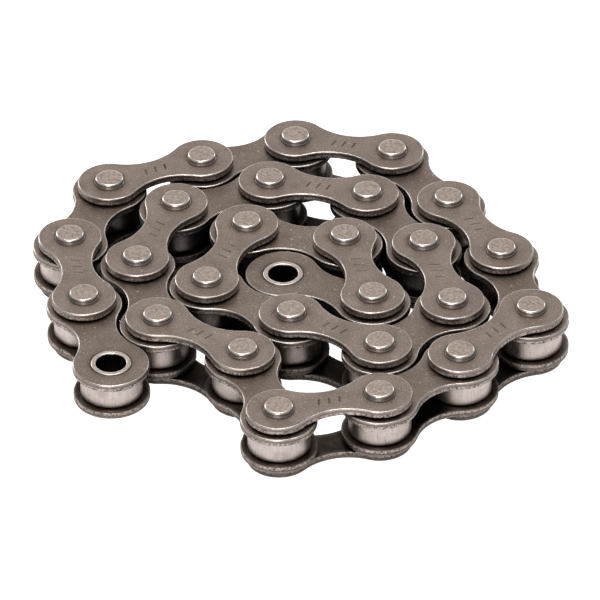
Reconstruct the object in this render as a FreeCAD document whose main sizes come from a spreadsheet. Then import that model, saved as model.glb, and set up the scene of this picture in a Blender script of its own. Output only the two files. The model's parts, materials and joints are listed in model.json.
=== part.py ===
"""Roller chain, 1/2 x 1/8 in, 27 pitches, lying on its side in a loose coil.

Every link lies flat: the pins are vertical and stand on the ground plane z = 0.
Link 1 is the free outer end of the coil and link 27 the free end in its middle.
Odd links are inner links (two plates pressed on two bushings), even links are
outer links (two plates riveted on two pins). A roller turns on each bushing.
"""
import os
from math import pi

import FreeCAD
import Part
import Sketcher

V = FreeCAD.Vector
doc = FreeCAD.newDocument("RollerChain")

# ---------------------------------------------------------------- dimensions
DIMS = {
    # chain size
    "pitch": 12.7,            # pin centre to pin centre
    "inner_width": 3.3,       # between the inner plates
    "side_gap": 0.28,         # inner plate to outer plate, each side
    # inner plates
    "inner_thick": 0.9,
    "inner_end": 4.72,        # radius of the round ends
    "inner_waist": 2.6,       # half width at the middle
    # outer plates
    "outer_thick": 0.95,
    "outer_end": 4.0,
    "outer_waist": 2.0,
    "rim_round": 0.15,        # rounding of the stamped plate rims
    # pins
    "pin_radius": 1.8,
    "pin_proud": 0.65,        # how far a pin stands out of its plate
    "pin_chamfer": 0.25,
    # bushings
    "bush_outer": 2.5,
    "bush_inner": 1.85,
    "bush_proud": 0.05,
    "bush_chamfer": 0.1,
    # rollers
    "roller_outer": 3.875,
    "roller_inner": 2.55,
    "roller_play": 0.075,     # roller to inner plate, each side
    "roller_round": 0.2,
    # where the first link starts, and the way it points
    "start_across": -23.18,
    "start_along": -17.19,
    "start_turn": 106,
}

# how far each link is turned from the one before it, in degrees
BENDS = [-7, -31, -45, -4, -33, -43, -3, -15, -60, -7, -24, -84, 36,
         -44, -34, -47, -35, -43, -18, -61, -75, -4, -78, -81, -61, -134]

sheet = doc.addObject("Spreadsheet::Sheet", "Dims")
cells = dict(DIMS)
cells.update({"bend_%02d" % (n + 1): angle for n, angle in enumerate(BENDS)})
for row, (name, value) in enumerate(cells.items(), 1):
    sheet.set("A%d" % row, name)
    sheet.set("B%d" % row, str(value))
    sheet.setAlias("B%d" % row, name)
doc.recompute()

# heights above the middle plane of the chain, as sheet formulas
INNER_FACE = "Dims.inner_width / 2"
OUTER_FACE = "(Dims.inner_width / 2 + Dims.inner_thick + Dims.side_gap)"
BUSH_LENGTH = "(Dims.inner_width + 2 * Dims.inner_thick + 2 * Dims.bush_proud)"
PIN_LENGTH = "(2 * %s + 2 * Dims.outer_thick + 2 * Dims.pin_proud)" % OUTER_FACE
ROLLER_LENGTH = "(Dims.inner_width - 2 * Dims.roller_play)"


# ------------------------------------------------------------------ helpers
def new_sketch(body, plane):
    """An empty sketch on one of the body's own planes, such as "XY"."""
    sketch = body.newObject("Sketcher::SketchObject", body.Name + "_profile")
    support = next(f for f in body.Origin.OriginFeatures
                   if f.Role == plane + "_Plane")
    sketch.AttachmentSupport = (support, [""])
    sketch.MapMode = "FlatFace"
    return sketch


def sized(sketch, name, constraint, formula):
    """Adds a constraint to the sketch and binds its value to the sheet."""
    index = sketch.addConstraint(constraint)
    sketch.renameConstraint(index, name)
    sketch.setExpression("Constraints." + name, formula)


def edges_at(shape, test):
    """Names of the shape's edges whose mid points pass the test."""
    found = []
    for n, edge in enumerate(shape.Edges, 1):
        middle = edge.valueAt((edge.FirstParameter + edge.LastParameter) / 2)
        if test(middle):
            found.append("Edge%d" % n)
    return found


def dress(body, kind, edge_names, size):
    """A PartDesign Fillet or Chamfer on the named edges of the body's tip."""
    base = body.Tip
    feature = body.newObject("PartDesign::" + kind, body.Name + "_" + kind)
    feature.Base = (base, edge_names)
    prop = "Radius" if kind == "Fillet" else "Size"
    feature.setExpression(prop, size)
    base.Visibility = False
    doc.recompute()


# -------------------------------------------------------------- link plates
def plate(name, end, waist, thick, hole, bottom):
    """A waisted link plate over both pin centres, its lower face at bottom."""
    body = doc.addObject("PartDesign::Body", name)
    sketch = new_sketch(body, "XY")
    half = DIMS["pitch"] / 2
    end_r, waist_w = DIMS[end], DIMS[waist]
    side_r = (half ** 2 + waist_w ** 2 - end_r ** 2) / (2 * (end_r - waist_w))
    side = V(half, waist_w + side_r, 0)
    lean = side.getAngle(V(1, 0, 0))

    def arc(centre, radius, first, last):
        circle = Part.Circle(centre, V(0, 0, 1), radius)
        return sketch.addGeometry(Part.ArcOfCircle(circle, first, last), False)

    left = arc(V(0, 0, 0), end_r, lean, 2 * pi - lean)
    right = arc(V(2 * half, 0, 0), end_r, lean - pi, pi - lean)
    upper = arc(side, side_r, pi + lean, 2 * pi - lean)
    lower = arc(V(half, -side.y, 0), side_r, lean, pi - lean)
    # round ends on the two pin centres, hollow sides tangent to them
    add = sketch.addConstraint
    add(Sketcher.Constraint("Coincident", left, 3, -1, 1))
    add(Sketcher.Constraint("PointOnObject", right, 3, -1))
    for one, one_end, other, other_end in (
            (left, 1, upper, 1), (upper, 2, right, 2),
            (right, 1, lower, 1), (lower, 2, left, 2)):
        add(Sketcher.Constraint("Tangent", one, one_end, other, other_end))
    add(Sketcher.Constraint("Equal", left, right))
    add(Sketcher.Constraint("Equal", upper, lower))
    sized(sketch, "reach", Sketcher.Constraint("DistanceX", -1, 1, right, 3, 2 * half),
          "Dims.pitch")
    sized(sketch, "round", Sketcher.Constraint("Radius", left, end_r), "Dims." + end)
    formula = ("((Dims.pitch / 2) ^ 2 + Dims.{w} ^ 2 - Dims.{e} ^ 2)"
               " / (2 * (Dims.{e} - Dims.{w}))").format(w=waist, e=end)
    sized(sketch, "side", Sketcher.Constraint("Radius", upper, side_r), formula)
    # the two holes
    for n, centre in enumerate((left, right)):
        at = V(2 * half * n, 0, 0)
        ring = sketch.addGeometry(Part.Circle(at, V(0, 0, 1), DIMS[hole]), False)
        add(Sketcher.Constraint("Coincident", ring, 3, centre, 3))
        sized(sketch, "hole%d" % n, Sketcher.Constraint("Radius", ring, DIMS[hole]),
              "Dims." + hole)
    pad = body.newObject("PartDesign::Pad", name + "_pad")
    pad.Profile = sketch
    pad.setExpression("Length", "Dims." + thick)
    body.setExpression("Placement.Base.z", bottom)
    sketch.Visibility = False
    doc.recompute()

    def outer_rim(point):
        holes = (V(0, 0, point.z), V(2 * half, 0, point.z))
        flat = min(point.z, DIMS[thick] - point.z) < 0.01
        return flat and all(point.distanceToPoint(c) > DIMS[hole] + 0.05 for c in holes)

    dress(body, "Fillet", edges_at(pad.Shape, outer_rim), "Dims.rim_round")
    return body


# ------------------------------------------------------------ turned pieces
def turned(name, inner, outer, length, along="0"):
    """A ring or a bar about a pin's axis, half above the middle plane."""
    body = doc.addObject("PartDesign::Body", name)
    sketch = new_sketch(body, "XZ")
    low, high = (DIMS[inner] if inner else 0.0), DIMS[outer]
    corners = [V(low, -1, 0), V(high, -1, 0), V(high, 1, 0), V(low, 1, 0)]
    for a, b in zip(corners, corners[1:] + corners[:1]):
        sketch.addGeometry(Part.LineSegment(a, b), False)
    add = sketch.addConstraint
    for line in range(4):
        add(Sketcher.Constraint("Coincident", line, 2, (line + 1) % 4, 1))
    for line, lies in ((0, "Horizontal"), (2, "Horizontal"), (3, "Vertical")):
        add(Sketcher.Constraint(lies, line))
    add(Sketcher.Constraint("Symmetric", 1, 1, 1, 2, -1))
    sized(sketch, "length", Sketcher.Constraint("DistanceY", 1, 1, 1, 2, 2), length)
    sized(sketch, "outer", Sketcher.Constraint("DistanceX", -1, 1, 1, 1, high),
          "Dims." + outer)
    if inner:
        sized(sketch, "inner", Sketcher.Constraint("DistanceX", -1, 1, 3, 1, low),
              "Dims." + inner)
    else:
        add(Sketcher.Constraint("PointOnObject", 3, 1, -2))
    turn = body.newObject("PartDesign::Revolution", name + "_turn")
    turn.Profile = sketch
    turn.ReferenceAxis = (sketch, ["V_Axis"])
    turn.Angle = 360
    body.setExpression("Placement.Base.x", along)
    sketch.Visibility = False
    doc.recompute()
    return body


def end_edges(body, radius):
    """The circles of this radius round the body's two ends."""
    return edges_at(body.Tip.Shape,
                    lambda p: abs((p.x ** 2 + p.y ** 2) ** 0.5 - radius) < 0.01
                    and abs(p.z) > 1)


def pin(name, along):
    body = turned(name, None, "pin_radius", PIN_LENGTH, along)
    dress(body, "Chamfer", end_edges(body, DIMS["pin_radius"]), "Dims.pin_chamfer")
    return body


def bushing(name, along):
    body = turned(name, "bush_inner", "bush_outer", BUSH_LENGTH, along)
    dress(body, "Chamfer", end_edges(body, DIMS["bush_inner"]), "Dims.bush_chamfer")
    return body


def roller(name):
    body = turned(name, "roller_inner", "roller_outer", ROLLER_LENGTH)
    dress(body, "Fillet", end_edges(body, DIMS["roller_outer"]), "Dims.roller_round")
    return body


# -------------------------------------------------------- the masters' parts
def group(name, members):
    """A compound of the members, with a Placement of its own."""
    compound = doc.addObject("Part::Compound", name)
    compound.Links = members
    return compound


inner_master = group("inner_link_master", [
    plate("inner_plate_top", "inner_end", "inner_waist", "inner_thick",
          "bush_outer", INNER_FACE),
    plate("inner_plate_low", "inner_end", "inner_waist", "inner_thick",
          "bush_outer", "-%s - Dims.inner_thick" % INNER_FACE),
    bushing("bushing_a", "0"),
    bushing("bushing_b", "Dims.pitch"),
])
outer_master = group("outer_link_master", [
    plate("outer_plate_top", "outer_end", "outer_waist", "outer_thick",
          "pin_radius", OUTER_FACE),
    plate("outer_plate_low", "outer_end", "outer_waist", "outer_thick",
          "pin_radius", "-%s - Dims.outer_thick" % OUTER_FACE),
    pin("pin_a", "0"),
    pin("pin_b", "Dims.pitch"),
])
roller_master = roller("roller_master")
doc.recompute()


# ---------------------------------------------------------- the laid-out chain
START = ("placement(vector(Dims.start_across; Dims.start_along; %s / 2);"
         " rotation(vector(0; 0; 1); Dims.start_turn))" % PIN_LENGTH)
NEXT = ("{before}.Placement * placement(vector(Dims.pitch; 0; 0);"
        " rotation(vector(0; 0; 1); Dims.bend_{bend:02d}))")
parts = []


def lay(label, master, formula):
    """A copy of a master at the place that the formula works out."""
    copy = group(label, [master])
    copy.setExpression("Placement", formula)
    parts.append(copy)
    return copy


links = []
for number in range(1, len(BENDS) + 2):
    inner = number % 2 == 1
    label = "%s_link_%02d" % ("inner" if inner else "outer", (number + 1) // 2)
    formula = START if not links else NEXT.format(before=links[-1].Name, bend=number - 1)
    links.append(lay(label, inner_master if inner else outer_master, formula))
    doc.recompute()

for number, link in enumerate(links[::2]):
    for end, along in enumerate(("0", "Dims.pitch")):
        lay("roller_%02d" % (2 * number + end + 1), roller_master,
            "%s.Placement * placement(vector(%s; 0; 0); rotation(vector(0; 0; 1); 0))"
            % (link.Name, along))
doc.recompute()

# ---------------------------------------------------------- checks and export
for item in doc.Objects:
    if "Invalid" in item.State or "Error" in item.State:
        raise RuntimeError("%s is %s" % (item.Label, item.State))
    shape = getattr(item, "Shape", None)
    if shape is not None and not item.isDerivedFrom("App::OriginFeature"):
        if shape.isNull() or not shape.isValid():
            raise RuntimeError("%s has a bad shape" % item.Label)

os.makedirs("parts", exist_ok=True)
for part in parts:
    part.Shape.exportStep("parts/%s.step" % part.Label)

whole = Part.makeCompound([part.Shape for part in parts])
box = whole.optimalBoundingBox(False, False)
print("%d parts, %.2f x %.2f x %.2f mm" % (len(parts), box.XLength, box.YLength, box.ZLength))
print("middle at %.3f, %.3f, lowest %.3f" % (box.Center.x, box.Center.y, box.ZMin))
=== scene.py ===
"""Looks of the roller chain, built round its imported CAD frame.

Every link, pin, bushing and roller is a piece of its own. The places come from the
frame: the rollers' hinges mark the 28 stations of the chain, and link n joins
station n to station n + 1. All shape sizes below are in millimetres.
"""
import json
from math import atan2, cos, hypot, pi, radians, sin

import bmesh
import bpy
from mathutils import Matrix, Vector, noise


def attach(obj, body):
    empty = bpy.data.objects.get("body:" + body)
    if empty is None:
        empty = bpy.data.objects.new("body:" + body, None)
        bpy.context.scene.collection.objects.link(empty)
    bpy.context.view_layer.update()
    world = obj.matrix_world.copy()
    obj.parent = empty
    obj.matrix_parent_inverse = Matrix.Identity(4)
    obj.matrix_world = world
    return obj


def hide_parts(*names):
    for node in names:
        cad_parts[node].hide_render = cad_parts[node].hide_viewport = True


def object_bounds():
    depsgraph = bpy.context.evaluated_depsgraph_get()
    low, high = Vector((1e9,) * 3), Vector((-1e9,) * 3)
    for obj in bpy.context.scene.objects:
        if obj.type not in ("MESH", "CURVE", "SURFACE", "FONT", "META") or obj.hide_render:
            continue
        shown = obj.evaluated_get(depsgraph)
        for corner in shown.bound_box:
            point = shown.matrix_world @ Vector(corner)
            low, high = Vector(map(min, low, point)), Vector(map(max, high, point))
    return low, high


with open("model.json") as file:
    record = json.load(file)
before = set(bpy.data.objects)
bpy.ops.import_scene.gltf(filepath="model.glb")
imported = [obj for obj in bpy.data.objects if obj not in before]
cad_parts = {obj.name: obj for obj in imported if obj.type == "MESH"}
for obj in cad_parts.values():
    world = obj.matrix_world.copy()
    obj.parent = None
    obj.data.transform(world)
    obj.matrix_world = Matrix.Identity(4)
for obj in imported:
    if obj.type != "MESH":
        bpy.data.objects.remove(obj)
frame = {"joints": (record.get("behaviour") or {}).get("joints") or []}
cad_box = [list(corner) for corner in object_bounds()]

MM = 0.001

# ------------------------------------------------------------- chain sizes, mm
PITCH = 12.7
INNER_FACE = 1.65            # middle plane to the inner plates
INNER_THICK = 0.9
OUTER_FACE = 2.83            # middle plane to the outer plates
OUTER_THICK = 0.95
INNER_END, INNER_WAIST = 4.72, 2.6
OUTER_END, OUTER_WAIST = 4.0, 2.0
PIN_RADIUS, PIN_HALF = 1.8, 4.43
BUSH_OUTER, BUSH_INNER, BUSH_HALF = 2.5, 1.85, 2.6
ROLLER_OUTER, ROLLER_INNER, ROLLER_HALF = 3.875, 2.55, 1.575
ROLLER_CORNER = 0.22
FIT = 0.01                   # a plate's hole is this much wider than its pin or bushing

# ------------------------------------------------------------- steps of a turn
PIN_STEPS, BUSH_STEPS, ROLLER_STEPS, ROLLER_CORNER_STEPS = 56, 56, 72, 6

# --------------------------------------------------------- stations and links
hinge_at = {j["name"]: Vector(j["pos_m"]) / MM for j in frame["joints"]}
STATIONS = [hinge_at["roller_%02d_spin" % (n + 1)] for n in range(28)]
LINKS = []
for n in range(27):
    kind = "inner" if n % 2 == 0 else "outer"
    LINKS.append(("%s_link_%02d" % (kind, n // 2 + 1), kind, STATIONS[n], STATIONS[n + 1]))


# ------------------------------------------------------------ mesh workshop
class Shape:
    """Collects rings of points, in mm, and the faces between them."""

    def __init__(self):
        self.mesh = bmesh.new()
        self.wear_and_highlight = self.mesh.verts.layers.float.new("wear_and_highlight")
        self.torn = self.mesh.verts.layers.float.new("torn")
        # darkens bores, hole rims, pin feet, stroke hollows and inner faces: oil, and painted shade
        self.oil_and_shade = self.mesh.verts.layers.float.new("oil_and_shade")

    def ring(self, points, wear_and_highlight=0.0, torn=0.0, oil_and_shade=0.0):
        made = []
        for point in points:
            vert = self.mesh.verts.new(point)
            vert[self.wear_and_highlight], vert[self.torn], vert[self.oil_and_shade] = wear_and_highlight, torn, oil_and_shade
            made.append(vert)
        return made

    def bridge(self, one, other):
        """Joins two rings with quads, or a ring and a single point with triangles."""
        if len(one) == 1 or len(other) == 1:
            tip, loop = (one[0], other) if len(one) == 1 else (other[0], one)
            for k in range(len(loop)):
                self.mesh.faces.new((tip, loop[k], loop[(k + 1) % len(loop)]))
            return
        count = len(one)
        for k in range(count):
            following = (k + 1) % count
            self.mesh.faces.new((one[k], one[following], other[following], other[k]))

    def bridge_all(self, rings):
        for one, other in zip(rings, rings[1:]):
            self.bridge(one, other)

    def lid(self, loops):
        """Fills the flat area between the first loop and the others inside it."""
        edges = []
        for loop in loops:
            for k, vert in enumerate(loop):
                pair = (vert, loop[(k + 1) % len(loop)])
                edges.append(self.mesh.edges.get(pair) or self.mesh.edges.new(pair))
        bmesh.ops.triangle_fill(self.mesh, use_beauty=True, use_dissolve=False, edges=edges)

    def piece(self, name, material, body, slot, node, place):
        """Ends the shape as an object that rides on a body."""
        bmesh.ops.recalc_face_normals(self.mesh, faces=self.mesh.faces)
        data = bpy.data.meshes.new(name)
        self.mesh.transform(Matrix.Scale(MM, 4) @ place)
        self.mesh.to_mesh(data)
        self.mesh.free()
        data.polygons.foreach_set("use_smooth", [True] * len(data.polygons))
        data.materials.append(material)
        made = bpy.data.objects.new(name, data)
        bpy.context.scene.collection.objects.link(made)
        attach(made, body)
        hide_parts(node)
        return made


def circle(radius, z, count, x=0.0):
    turn = [2 * pi * k / count for k in range(count)]
    return [Vector((x + radius * cos(a), radius * sin(a), z)) for a in turn]


def waisted(end, waist, round_steps=52, side_steps=18):
    """Outline of a link plate: round ends at x = 0 and PITCH, hollow sides."""
    half = PITCH / 2
    side = (half ** 2 + waist ** 2 - end ** 2) / (2 * (end - waist))
    lean = atan2(waist + side, half)
    arcs = ((PITCH, 0, end, lean - pi, pi - lean, round_steps),
            (half, waist + side, side, -lean, lean - pi, side_steps),
            (0, 0, end, lean, 2 * pi - lean, round_steps),
            (half, -waist - side, side, pi - lean, lean, side_steps))
    points = []
    for x, y, radius, first, last, steps in arcs:
        for k in range(steps):
            a = first + (last - first) * k / steps
            points.append((x + radius * cos(a), y + radius * sin(a)))
    return points


def jitter(point, size, seed):
    """Smooth noise between -1 and 1, for features of this size in mm."""
    return noise.noise(Vector(point) / size + Vector((seed * 7.31, seed * 3.17, seed * 5.73)))


# --------------------------------------------------------------- the pieces
RIM_DRAW = 0.15                                   # how far the punch draws the rim in
RIM_WEAR_AND_HIGHLIGHT = (0.4, 0.9, 1.0, 1.0, 0.9, 0.6)         # how bright the rim is, face to wall: worn metal and a painted highlight
SHEARED_SHARE = 0.42                              # the wall is torn below this height
TORN_STEPS, TORN_PROUD = 5, 0.012
BURR = 0.06
HOLE_STEPS = 44
STROKE_STEPS, STROKE_RADIUS, STROKE_HALF = 16, 0.09, 0.5
STROKE_GAP, STROKE_LEAN = 1.3, 0.25


def plate_rows(thick):
    """A plate's edge as (inset, z, wear_and_highlight, torn) rows, from its outer face to its inner.

    The rim of the outer face is drawn in by the punch, the upper part of the wall is
    sheared smooth and the rest of it is torn.
    """
    sheared = SHEARED_SHARE * thick
    rows = [(0.5, thick, 0.0, 0.0), (0.22, thick, 0.0, 0.0)]
    for k, wear_and_highlight in enumerate(RIM_WEAR_AND_HIGHLIGHT):
        a = pi / 2 * k / (len(RIM_WEAR_AND_HIGHLIGHT) - 1)
        rows.append((RIM_DRAW * (1 - sin(a)), thick - RIM_DRAW * (1 - cos(a)), wear_and_highlight, 0.0))
    rows += [(0.0, thick - RIM_DRAW - 0.12, 0.05, 0.0), (0.0, sheared + 0.05, 0.0, 0.15)]
    for k in range(TORN_STEPS):
        rows.append((-TORN_PROUD, sheared - (sheared - BURR) * k / (TORN_STEPS - 1), 0.0, 1.0))
    rows += [(BURR * 0.4, BURR * 0.3, 0.1, 0.5), (BURR + 0.02, 0.0, 0.3, 0.0),
             (0.25, 0.0, 0.0, 0.0), (0.6, 0.0, 0.0, 0.0)]
    return rows


def plate_loop(shape, end, waist, row, seed):
    """One loop round the plate, a little uneven, and ragged where the wall is torn."""
    inset, z, wear_and_highlight, torn = row
    points, worn_and_highlight = [], []
    for x, y in waisted(end - inset, waist - inset):
        centre = Vector((min(max(x, 0), PITCH), 0, 0))
        out = (Vector((x, y, 0)) - centre).normalized()
        ragged = torn * 0.022 * jitter((x, y, 3 * z), 0.35, seed)
        ragged += 0.02 * jitter((x, y, z), 2.5, seed + 1)
        points.append(Vector((x, y, z)) + out * ragged)
        worn_and_highlight.append(wear_and_highlight * (0.75 + 0.5 * jitter((x, y, z), 1.3, seed + 2)))
    # oil and painted shade: the inner face darkens away from its edge
    oil_and_shade = min(1, inset / 0.5) if z <= 0 else 0.0
    loop = shape.ring(points, 0.0, torn, oil_and_shade)
    for vert, bright in zip(loop, worn_and_highlight):
        vert[shape.wear_and_highlight] = bright
    return loop


def plate_hole(shape, x, hole, thick):
    """A hole whose upper edge is drawn in, darkened towards the bore with oil and painted shade: its first
    and last ring.
    """
    edge = [(1.1, thick, 0.0), (0.55, thick, 0.12), (0.26, thick, 0.35),
            (0.14, thick - 0.01, 0.7), (0.06, thick - 0.05, 0.9), (0.01, thick - 0.16, 1.0),
            (0.0, 0.1, 1.0), (0.05, 0.0, 1.0), (0.3, 0.0, 1.0)]
    rings = [shape.ring(circle(hole + out, z, HOLE_STEPS, x), 0.0, 0.0, hole_oil_and_shade)
             for out, z, hole_oil_and_shade in edge]
    shape.bridge_all(rings)
    return rings[0], rings[-1]


def stamped_stroke(shape, x, thick):
    """A plain stroke pressed into the outer face: its outermost ring."""
    rings = []
    for grow, z in ((0.16, thick), (0.08, thick), (0.05, thick - 0.008),
                    (-0.01, thick - 0.03), (-0.05, thick - 0.035)):
        radius = STROKE_RADIUS + grow
        outline = []
        for m in range(STROKE_STEPS):
            a = 2 * pi * m / STROKE_STEPS
            along = STROKE_HALF if sin(a) > 0 else -STROKE_HALF
            outline.append(Vector((x + radius * cos(a) + STROKE_LEAN * along,
                                   along + radius * sin(a), z)))
        # the hollow of the stroke is darkened with oil and painted shade
        rings.append(shape.ring(outline, 0.0, 0.0, 0.0 if z == thick else 0.75))
    shape.bridge_all(rings)
    shape.lid([rings[-1]])
    return rings[0]


def plate_shape(end, waist, thick, hole, seed, strokes):
    """A stamped link plate, its outer face at z = thick, the inner one at z = 0."""
    shape = Shape()
    loops = [plate_loop(shape, end, waist, row, seed) for row in plate_rows(thick)]
    shape.bridge_all(loops)
    top, bottom = [loops[0]], [loops[-1]]
    for x in (0.0, PITCH):
        upper, lower = plate_hole(shape, x, hole, thick)
        top.append(upper)
        bottom.append(lower)
    for k in range(strokes):
        top.append(stamped_stroke(shape, PITCH / 2 + STROKE_GAP * (k - (strokes - 1) / 2), thick))
    shape.lid(top)
    shape.lid(bottom)
    return shape


def lathe(rows, count, closed, bend=None):
    """A turned shape from (radius, z, wear_and_highlight, oil_and_shade) rows, each moved by bend if given.

    A row of zero radius is a single point. A closed profile is a tube's.
    """
    shape = Shape()
    rings = []
    for radius, z, wear_and_highlight, oil_and_shade in rows:
        points = circle(radius, z, count) if radius else [Vector((0, 0, z))]
        if bend and radius:
            points = [bend(p) for p in points]
        rings.append(shape.ring(points, wear_and_highlight, 0.0, oil_and_shade))
    if closed:
        rings.append(rings[0])
    shape.bridge_all(rings)
    return shape


def mirrored(rows):
    """The rows, and after them those above z = 0 again below it."""
    return rows + [(r, -z, wear_and_highlight, oil_and_shade) for r, z, wear_and_highlight, oil_and_shade in reversed(rows) if z > 0]


PEENED_DEPTH = 0.64      # the part of a pin that the rivet press shaped


def pin_shape(seed):
    """A rivet pin with flattened, slightly uneven heads."""
    # third column: wear with a painted highlight on the chamfer and the lip; fourth: oil and painted shade
    # at the foot
    head = [(0.0, 0.0, 0.0, 0.0), (0.35, 0.0, 0.0, 0.0), (0.7, 0.0, 0.0, 0.0), (1.0, 0.0, 0.0, 0.0),
            (1.3, 0.0, 0.0, 0.0), (1.52, 0.004, 0.0, 0.0), (1.6, 0.012, 0.4, 0.0),
            (1.65, 0.035, 1.0, 0.0), (1.7, 0.075, 1.0, 0.0), (1.74, 0.13, 1.0, 0.0),
            (1.755, 0.18, 0.6, 0.0), (1.76, 0.24, 0.2, 0.0), (1.765, 0.4, 0.1, 0.0),
            (1.77, 0.48, 0.1, 0.2), (1.79, 0.55, 0.0, 0.8), (1.87, 0.62, 0.5, 0.3),
            (1.91, 0.66, 0.0, 0.9), (PIN_RADIUS, 0.7, 0.0, 1.0), (PIN_RADIUS, 1.2, 0.0, 0.6),
            (PIN_RADIUS, 2.0, 0.0, 0.3)]
    rows = mirrored([(r, PIN_HALF - depth, wear_and_highlight, oil_and_shade) for r, depth, wear_and_highlight, oil_and_shade in head])

    def peened(point):
        radius = hypot(point.x, point.y)
        if abs(point.z) < PIN_HALF - PEENED_DEPTH:
            return point
        lump = 0.012 * jitter(point, 0.5, seed) + 0.02 * jitter(point, 1.6, seed + 3)
        top = max(0.0, 1 - (PIN_HALF - abs(point.z)) / 0.4)
        uneven = jitter((point.x, point.y, 0), 1.3, seed + 5) * min(1, radius / 1.2)
        spread = 1 + 0.035 * top * uneven
        drop = (0.03 + lump) * top
        if point.z < 0:
            drop = -drop
        return Vector((point.x * spread, point.y * spread, point.z - drop))

    return lathe(rows, PIN_STEPS, False, peened)


def bushing_shape():
    """A bushing with a bore darkened by oil and painted shade, and corners at its two ends worn bright with
    a painted highlight.
    """
    rows = [(BUSH_INNER, 0.0, 0.0, 1.0), (BUSH_INNER, 1.6, 0.0, 1.0), (BUSH_INNER, 2.3, 0.0, 1.0),
            (BUSH_INNER + 0.015, BUSH_HALF - 0.14, 0.4, 0.8),
            (BUSH_INNER + 0.06, BUSH_HALF - 0.05, 1.0, 0.0),
            (BUSH_INNER + 0.11, BUSH_HALF - 0.01, 0.8, 0.0),
            (BUSH_INNER + 0.2, BUSH_HALF, 0.45, 0.0), (BUSH_OUTER - 0.2, BUSH_HALF, 0.4, 0.0),
            (BUSH_OUTER - 0.11, BUSH_HALF - 0.005, 0.6, 0.0),
            (BUSH_OUTER - 0.04, BUSH_HALF - 0.03, 0.9, 0.0),
            (BUSH_OUTER, BUSH_HALF - 0.1, 0.4, 0.4), (BUSH_OUTER, 2.3, 0.0, 0.5),
            (BUSH_OUTER, 1.2, 0.0, 0.3)]
    return lathe(mirrored(rows), BUSH_STEPS, True)


def roller_shape(seed):
    """A roller with rounded corners and a faintly dented face."""
    top = ROLLER_HALF
    rows = [(ROLLER_INNER, 0.0, 0.0, 0.0), (ROLLER_INNER, top - 0.2, 0.0, 0.0),
            (ROLLER_INNER + 0.05, top - 0.06, 0.5, 0.0), (ROLLER_INNER + 0.16, top, 0.5, 0.0),
            (3.0, top, 0.2, 0.0), (ROLLER_OUTER - 0.4, top, 0.3, 0.0)]
    for k in range(ROLLER_CORNER_STEPS):
        a = pi / 2 * k / (ROLLER_CORNER_STEPS - 1)
        rows.append((ROLLER_OUTER - ROLLER_CORNER * (1 - sin(a)),
                     top - ROLLER_CORNER * (1 - cos(a)), 0.6, 0.0))
    rows += [(ROLLER_OUTER, top - 0.45, 0.2, 0.0), (ROLLER_OUTER, top - 0.9, 0.0, 0.0),
             (ROLLER_OUTER, 0.3, 0.0, 0.0)]

    def dented(point):
        dent = 0.012 * jitter(point, 0.9, seed) + 0.01 * jitter(point, 2.2, seed + 4)
        outer = max(0.0, hypot(point.x, point.y) - 3.2) / (ROLLER_OUTER - 3.2)
        push = 1 + outer * (dent - 0.01) / ROLLER_OUTER
        return Vector((point.x * push, point.y * push, point.z))

    return lathe(mirrored(rows), ROLLER_STEPS, True, dented)


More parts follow.
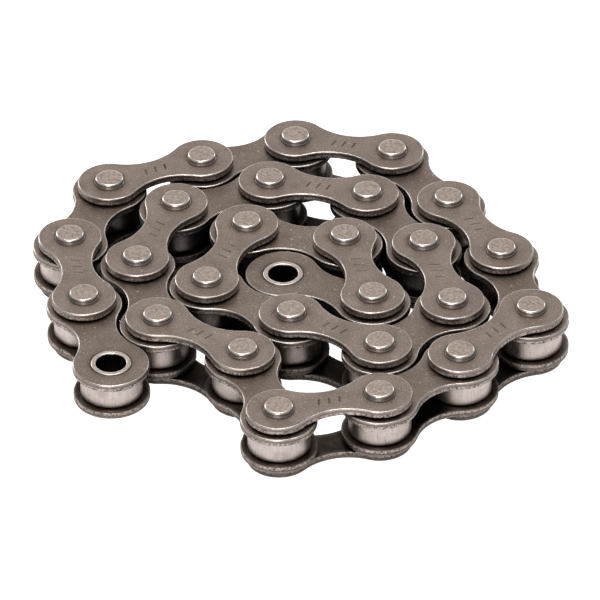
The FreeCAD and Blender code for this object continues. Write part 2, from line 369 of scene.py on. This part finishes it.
# ---------------------------------------------------------------- materials
class Nodes:
    """A small hand on a material's node tree."""

    def __init__(self, name):
        self.material = bpy.data.materials.new(name)
        self.material.use_nodes = True
        self.tree = self.material.node_tree
        self.shader = self.tree.nodes["Principled BSDF"]
        self.coords = self.tree.nodes.new("ShaderNodeTexCoord").outputs["Object"]

    def link(self, source, target):
        self.tree.links.new(source, target)

    def noise(self, size, detail=3.0, roughness=0.5, stretch=None):
        """Noise whose features are about this size, in mm."""
        node = self.tree.nodes.new("ShaderNodeTexNoise")
        node.inputs["Scale"].default_value = 1 / (size * MM)
        node.inputs["Detail"].default_value = detail
        node.inputs["Roughness"].default_value = roughness
        source = self.coords
        if stretch:
            mapping = self.tree.nodes.new("ShaderNodeMapping")
            mapping.inputs["Scale"].default_value = stretch
            self.link(source, mapping.inputs["Vector"])
            source = mapping.outputs["Vector"]
        self.link(source, node.inputs["Vector"])
        return node.outputs["Fac"]

    def ramp(self, source, stops):
        node = self.tree.nodes.new("ShaderNodeValToRGB")
        ramp = node.color_ramp
        while len(ramp.elements) < len(stops):
            ramp.elements.new(0.5)
        for element, (at, value) in zip(ramp.elements, stops):
            element.position = at
            element.color = (*value, 1) if isinstance(value, tuple) else (value, value, value, 1)
        self.link(source, node.inputs["Fac"])
        return node.outputs["Color"]

    def mix(self, factor, one, other, blend="MIX"):
        node = self.tree.nodes.new("ShaderNodeMix")
        node.data_type = "RGBA"
        node.blend_type = blend
        for value, socket in ((factor, node.inputs[0]), (one, node.inputs[6]), (other, node.inputs[7])):
            if isinstance(value, bpy.types.NodeSocket):
                self.link(value, socket)
            elif isinstance(value, tuple):
                socket.default_value = (*value, 1)
            else:
                socket.default_value = value
        return node.outputs[2]

    def math(self, operation, one, other):
        node = self.tree.nodes.new("ShaderNodeMath")
        node.operation = operation
        node.use_clamp = True
        for value, socket in zip((one, other), node.inputs):
            if isinstance(value, bpy.types.NodeSocket):
                self.link(value, socket)
            else:
                socket.default_value = value
        return node.outputs[0]

    def nook(self, reach):
        """1 in the open, towards 0 where other steel stands closer than this, in mm."""
        node = self.tree.nodes.new("ShaderNodeAmbientOcclusion")
        node.samples = 6
        node.inputs["Distance"].default_value = reach * MM
        return node.outputs["AO"]

    def attribute(self, name):
        node = self.tree.nodes.new("ShaderNodeAttribute")
        node.attribute_name = name
        return node.outputs["Fac"]

    def bump(self, source, height, before=None):
        """Adds bumps of this height in mm, and gives the new normal."""
        node = self.tree.nodes.new("ShaderNodeBump")
        node.inputs["Distance"].default_value = height * MM
        node.inputs["Strength"].default_value = 1.0
        self.link(source, node.inputs["Height"])
        if before:
            self.link(before, node.inputs["Normal"])
        return node.outputs["Normal"]

    def finish(self, colour, rough, normal, metallic=1.0):
        self.link(colour, self.shader.inputs["Base Color"])
        self.link(rough, self.shader.inputs["Roughness"])
        self.link(normal, self.shader.inputs["Normal"])
        self.shader.inputs["Metallic"].default_value = metallic
        return self.material


OIL_AND_SHADE = (0.022, 0.017, 0.013)
SPECK = (0.8, 0.7, 0.63)
STAIN, RUST = (0.16, 0.09, 0.05), (0.22, 0.11, 0.055)
PLATE_WORN_HIGHLIGHT, PIN_WORN_HIGHLIGHT, TURNED_WORN_HIGHLIGHT = (0.88, 0.81, 0.77), (0.86, 0.82, 0.79), (0.87, 0.79, 0.73)
WORN_ROUGH, TORN_ROUGH = (0.13, 0.13, 0.13), (0.55, 0.55, 0.55)
NOOK_REACH = 12.0            # mm; steel closer than this around a point darkens it with oil and painted shade


def plate_steel(name, dark, light, stain):
    """Browned, tumbled steel: cloudy tone, fine grain, bright rims, torn walls."""
    n = Nodes(name)
    cloud = n.noise(4.0, 4.0, 0.6)
    grain = n.noise(0.2, 4.0, 0.75)
    colour = n.mix(n.ramp(cloud, ((0.3, 0.0), (0.7, 1.0))), dark, light)
    colour = n.mix(n.ramp(grain, ((0.34, 0.65), (0.58, 0.0))), colour, (0.08, 0.06, 0.048))
    speck = n.ramp(n.noise(0.34, 2.0, 0.5), ((0.67, 0.0), (0.73, 0.6)))
    colour = n.mix(speck, colour, SPECK)
    blot = n.ramp(n.noise(5.5, 3.0, 0.55), ((0.62, 0.0), (0.74, 1.0)))
    colour = n.mix(n.math("MULTIPLY", blot, stain), colour, STAIN)

    # rust in patches round the holes, and a torn wall full of flecks
    foot = n.ramp(n.attribute("oil_and_shade"), ((0.0, 0.0), (0.2, 1.0)))
    patch = n.ramp(n.noise(2.6, 3.0, 0.6), ((0.56, 0.0), (0.66, 0.6)))
    colour = n.mix(n.math("MULTIPLY", foot, patch), colour, RUST)
    torn = n.attribute("torn")
    flecks = n.ramp(n.noise(0.3, 4.0, 0.7),
                    ((0.38, (0.08, 0.063, 0.053)), (0.56, (0.78, 0.68, 0.62))))
    colour = n.mix(n.math("MULTIPLY", torn, 0.95), colour, flecks)

    # bare metal and a painted highlight on the rims; oil with painted shade in the holes, on the inner
    # faces and deep in the coil
    bare_and_highlight_patches = n.ramp(n.noise(0.9, 3.0, 0.6), ((0.3, 0.55), (0.55, 1.0)))
    scuffed_and_highlight = n.math("MULTIPLY", n.attribute("wear_and_highlight"), bare_and_highlight_patches)
    colour = n.mix(n.math("MULTIPLY", scuffed_and_highlight, 0.9), colour, PLATE_WORN_HIGHLIGHT)
    oil_and_shade_patches = n.ramp(n.noise(1.6, 3.0, 0.6), ((0.25, 0.55), (0.6, 0.85)))
    colour = n.mix(n.math("MULTIPLY", n.attribute("oil_and_shade"), oil_and_shade_patches), colour, OIL_AND_SHADE)
    # painted shade, with oil: darker where other steel stands close, deep in the coil
    colour = n.mix(n.ramp(n.nook(NOOK_REACH), ((0.15, 0.92), (0.5, 0.0))), colour, OIL_AND_SHADE)

    rough = n.ramp(n.noise(0.8, 4.0, 0.65), ((0.3, 0.34), (0.7, 0.47)))
    rough = n.mix(n.math("MULTIPLY", torn, 0.8), rough, TORN_ROUGH)
    rough = n.mix(n.math("MULTIPLY", scuffed_and_highlight, 0.85), rough, WORN_ROUGH)
    normal = n.bump(grain, 0.011)
    normal = n.bump(n.noise(0.9, 3.0, 0.55), 0.025, normal)
    return n.finish(colour, rough, normal)


def pin_steel(name):
    """Peened heads: mottled flat faces, edges worn bright with a painted highlight, a foot darkened by oil
    and painted shade.
    """
    n = Nodes(name)
    spot = n.noise(0.38, 4.0, 0.7)
    colour = n.mix(n.ramp(spot, ((0.36, 0.0), (0.64, 1.0))), (0.3, 0.235, 0.195), (0.56, 0.46, 0.4))
    wear_and_highlight = n.attribute("wear_and_highlight")
    colour = n.mix(n.math("MULTIPLY", wear_and_highlight, 0.9), colour, PIN_WORN_HIGHLIGHT)
    colour = n.mix(n.math("MULTIPLY", n.attribute("oil_and_shade"), 0.8), colour, OIL_AND_SHADE)
    rough = n.ramp(spot, ((0.3, 0.5), (0.7, 0.36)))
    rough = n.mix(n.math("MULTIPLY", wear_and_highlight, 0.8), rough, WORN_ROUGH)
    normal = n.bump(n.noise(0.22, 3.0, 0.6), 0.008)
    normal = n.bump(spot, 0.014, normal)
    return n.finish(colour, rough, normal)


def turned_steel(name, dark, light, cloud_size, smoothest, roughest, worn_and_highlight):
    """Turned and polished steel with faint clouds, streaks along its axis and small pits."""
    n = Nodes(name)
    cloud = n.noise(cloud_size, 4.0, 0.62)
    colour = n.mix(n.ramp(cloud, ((0.34, 0.0), (0.6, 1.0))), dark, light)
    streak = n.noise(0.22, 4.0, 0.7, (1.0, 1.0, 0.07))
    colour = n.mix(n.ramp(streak, ((0.34, 0.22), (0.56, 0.0))), colour, (0.25, 0.205, 0.18))
    pit = n.ramp(n.noise(0.35, 2.0, 0.5), ((0.27, 1.0), (0.34, 0.0)))
    colour = n.mix(n.math("MULTIPLY", pit, 0.5), colour, (0.16, 0.125, 0.105))
    # worn corners painted bright: bare metal and a painted highlight
    colour = n.mix(n.math("MULTIPLY", n.attribute("wear_and_highlight"), worn_and_highlight), colour, TURNED_WORN_HIGHLIGHT)
    colour = n.mix(n.math("MULTIPLY", n.attribute("oil_and_shade"), 0.96), colour, OIL_AND_SHADE)
    # painted shade, with oil: darker where other steel stands close, deep in the coil
    colour = n.mix(n.ramp(n.nook(NOOK_REACH), ((0.15, 0.92), (0.42, 0.0))), colour, OIL_AND_SHADE)
    rough = n.ramp(n.noise(0.7, 3.0, 0.6), ((0.3, smoothest), (0.7, roughest)))
    normal = n.bump(n.noise(0.5, 3.0, 0.6), 0.012)
    normal = n.bump(streak, 0.008, normal)
    return n.finish(colour, rough, normal)


OUTER_STEEL = plate_steel("outer_plate_steel", dark=(0.29, 0.23, 0.192), light=(0.43, 0.343, 0.29),
                          stain=0.4)
# painted shade: the inner plates lie lower, under the outer plates, and get darker tones than the outer
# plates for it
INNER_STEEL = plate_steel("inner_plate_steel", dark=(0.25, 0.198, 0.162), light=(0.36, 0.287, 0.238),
                          stain=0.5)
PIN_STEEL = pin_steel("pin_steel")
BUSHING_STEEL = turned_steel("bushing_steel", dark=(0.36, 0.28, 0.235), light=(0.58, 0.48, 0.42),
                             cloud_size=1.5, smoothest=0.24, roughest=0.36, worn_and_highlight=0.9)
ROLLER_STEEL = turned_steel("roller_steel", dark=(0.72, 0.61, 0.56), light=(0.95, 0.83, 0.77),
                            cloud_size=2.4, smoothest=0.3, roughest=0.42, worn_and_highlight=0.4)


# ----------------------------------------------------------- build the chain
def frame_of(start, end, flip):
    """Plate axes on a link: x towards its end, outer face away from the middle."""
    along = (end - start).normalized()
    up = Vector((0, 0, -1 if flip else 1))
    across = up.cross(along)
    turn = Matrix((along, across, up)).transposed().to_4x4()
    return Matrix.Translation(start) @ turn


STROKES = 3                  # on each outer plate

for n, (body, kind, start, end) in enumerate(LINKS):
    if kind == "inner":
        slot, steel, face, strokes = "inner_link_steel", INNER_STEEL, INNER_FACE, 0
        sizes = (INNER_END, INNER_WAIST, INNER_THICK, BUSH_OUTER + FIT)
    else:
        slot, steel, face, strokes = "outer_link_steel", OUTER_STEEL, OUTER_FACE, STROKES
        sizes = (OUTER_END, OUTER_WAIST, OUTER_THICK, PIN_RADIUS + FIT)
    for low, side in enumerate(("top", "low")):
        plate = plate_shape(*sizes, seed=10 * n + 5 * low, strokes=strokes)
        place = frame_of(start, end, low == 1) @ Matrix.Translation((0, 0, face))
        plate.piece("%s_plate_%s" % (body, side), steel, body, slot, body, place)
    for m, station in enumerate((start, end)):
        place = Matrix.Translation(station)
        if kind == "inner":
            bushing_shape().piece("%s_bushing_%s" % (body, "ab"[m]), BUSHING_STEEL, body, slot, body, place)
        else:
            pin_shape(20 * n + m).piece("%s_pin_%s" % (body, "ab"[m]), PIN_STEEL, body, slot, body, place)
for n, station in enumerate(STATIONS):
    body = "roller_%02d" % (n + 1)
    roller_shape(100 + n).piece(body + "_shell", ROLLER_STEEL, body, "roller_steel", body,
                                Matrix.Translation(station))

# ------------------------------------------------------- floor, light, camera
scene = bpy.context.scene
HALF_FLOOR = 1.5


def paper_sheet(name, down, white, glow):
    """A large pale sheet this far below the chain, in mm."""
    corners = [(-HALF_FLOOR, -HALF_FLOOR, 0), (HALF_FLOOR, -HALF_FLOOR, 0),
               (HALF_FLOOR, HALF_FLOOR, 0), (-HALF_FLOOR, HALF_FLOOR, 0)]
    data = bpy.data.meshes.new(name)
    data.from_pydata(corners, [], [(0, 1, 2, 3)])
    paper = bpy.data.materials.new(name)
    paper.use_nodes = True
    shader = paper.node_tree.nodes["Principled BSDF"]
    shader.inputs["Base Color"].default_value = (white, white, white, 1)
    shader.inputs["Roughness"].default_value = 0.9
    shader.inputs["Emission Color"].default_value = (1, 1, 1, 1)
    shader.inputs["Emission Strength"].default_value = glow
    data.materials.append(paper)
    sheet = bpy.data.objects.new(name, data)
    scene.collection.objects.link(sheet)
    sheet.location.z = cad_box[0][2] - down * MM
    return sheet


# the sheet that is seen glows a little, and the one that the steel mirrors does not,
# so the chain's own shadows stay dark inside its coil
floor = paper_sheet("floor", 0.1, 0.9, 0.85)
floor.visible_diffuse = floor.visible_glossy = False
bounce = paper_sheet("bounce", 0.05, 0.85, 0.0)
bounce.visible_camera = bounce.visible_shadow = False


def softbox(name, place, size, watts):
    """A square area light that faces the chain."""
    light = bpy.data.lights.new(name, "AREA")
    light.shape = "SQUARE"
    light.size = size
    light.energy = watts
    holder = bpy.data.objects.new(name, light)
    holder.location = place
    holder.rotation_euler = (-Vector(place)).to_track_quat("-Z", "Y").to_euler()
    scene.collection.objects.link(holder)


softbox("overhead", (0.0, 0.05, 0.42), 0.26, 0.85)
softbox("back_panel", (-0.05, 0.5, 0.36), 0.5, 0.18)
softbox("back_left", (-0.38, 0.45, 0.24), 0.26, 0.65)
softbox("back_right", (0.38, 0.45, 0.16), 0.22, 0.3)
softbox("back_low", (0.0, 0.6, 0.09), 0.3, 0.35)
softbox("front", (-0.08, -0.45, 0.13), 0.26, 0.7)

world = bpy.data.worlds.new("studio")
scene.world = world
world.use_nodes = True
world.node_tree.nodes["Background"].inputs["Color"].default_value = (1, 1, 1, 1)
world.node_tree.nodes["Background"].inputs["Strength"].default_value = 0.36

CAMERA_UP = radians(36.66)
CAMERA_ROLL = radians(-0.686)
CAMERA_AWAY = 833.7
AIM = Vector((0.11, -7.26, 8.86))
camera_data = bpy.data.cameras.new("camera")
camera_data.lens = 404.4
camera_data.sensor_width = 36
camera_data.clip_start = 0.05
camera = bpy.data.objects.new("camera", camera_data)
away = Vector((0, -cos(CAMERA_UP), sin(CAMERA_UP))) * CAMERA_AWAY
camera.matrix_world = (Matrix.Translation((AIM + away) * MM)
                       @ Matrix.Rotation(pi / 2 - CAMERA_UP, 4, "X")
                       @ Matrix.Rotation(CAMERA_ROLL, 4, "Z"))
scene.collection.objects.link(camera)
scene.camera = camera
scene.view_settings.view_transform = "Standard"
